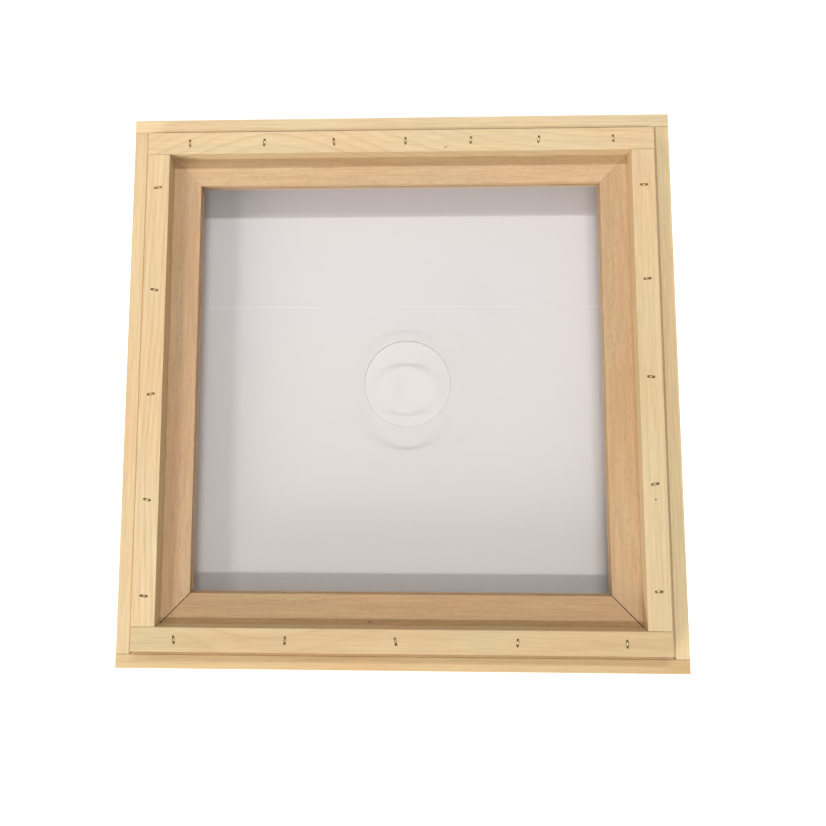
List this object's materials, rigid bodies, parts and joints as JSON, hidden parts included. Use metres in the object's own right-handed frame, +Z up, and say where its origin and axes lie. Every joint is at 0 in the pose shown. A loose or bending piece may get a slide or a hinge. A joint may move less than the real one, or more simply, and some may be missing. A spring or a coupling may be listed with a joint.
{
  "type": "glazed wooden tray frame",
  "caption": "Square pine tray with a raised stapled border, a mitred beech rail frame and a clear pane with a round hole.",
  "frame": {"origin": "centre of the tray's plan, on the surface it stands on", "axes": "+X to the right, +Y to the back, +Z up, out of the side with the raised border"},
  "size_m": [0.5, 0.5, 0.054],
  "materials": {
    "pine_board": "planed and sanded softwood, unfinished, pale yellow with fine straight to arched grain",
    "pine_strip": "planed and sanded softwood, unfinished, pale yellow with fine straight to arched grain",
    "beech": "planed beech, unfinished, pinkish tan with fine flecks along the grain",
    "clear_acrylic": "clear polished acrylic sheet",
    "staple_wire": "yellowish lacquered steel wire",
    "nail_steel": "bare steel strip"
  },
  "bodies": {
    "root": {"back_board": "pine_board", "back_corner_staples": "staple_wire", "back_rail": "beech", "back_rail_staples": "staple_wire", "back_strip": "pine_strip", "back_strip_staples": "staple_wire", "clear_pane": "clear_acrylic", "front_board": "pine_board", "front_corner_staples": "staple_wire", "front_rail": "beech", "front_rail_staples": "staple_wire", "front_strip": "pine_strip", "front_strip_staples": "staple_wire", "left_board": "pine_board", "left_rail": "beech", "left_rail_staples": "staple_wire", "left_strip": "pine_strip", "left_strip_staples": "staple_wire", "mitre_nails": "nail_steel", "right_board": "pine_board", "right_rail": "beech", "right_rail_staples": "staple_wire", "right_strip": "pine_strip", "right_strip_staples": "staple_wire"}
  },
  "joints": []
}
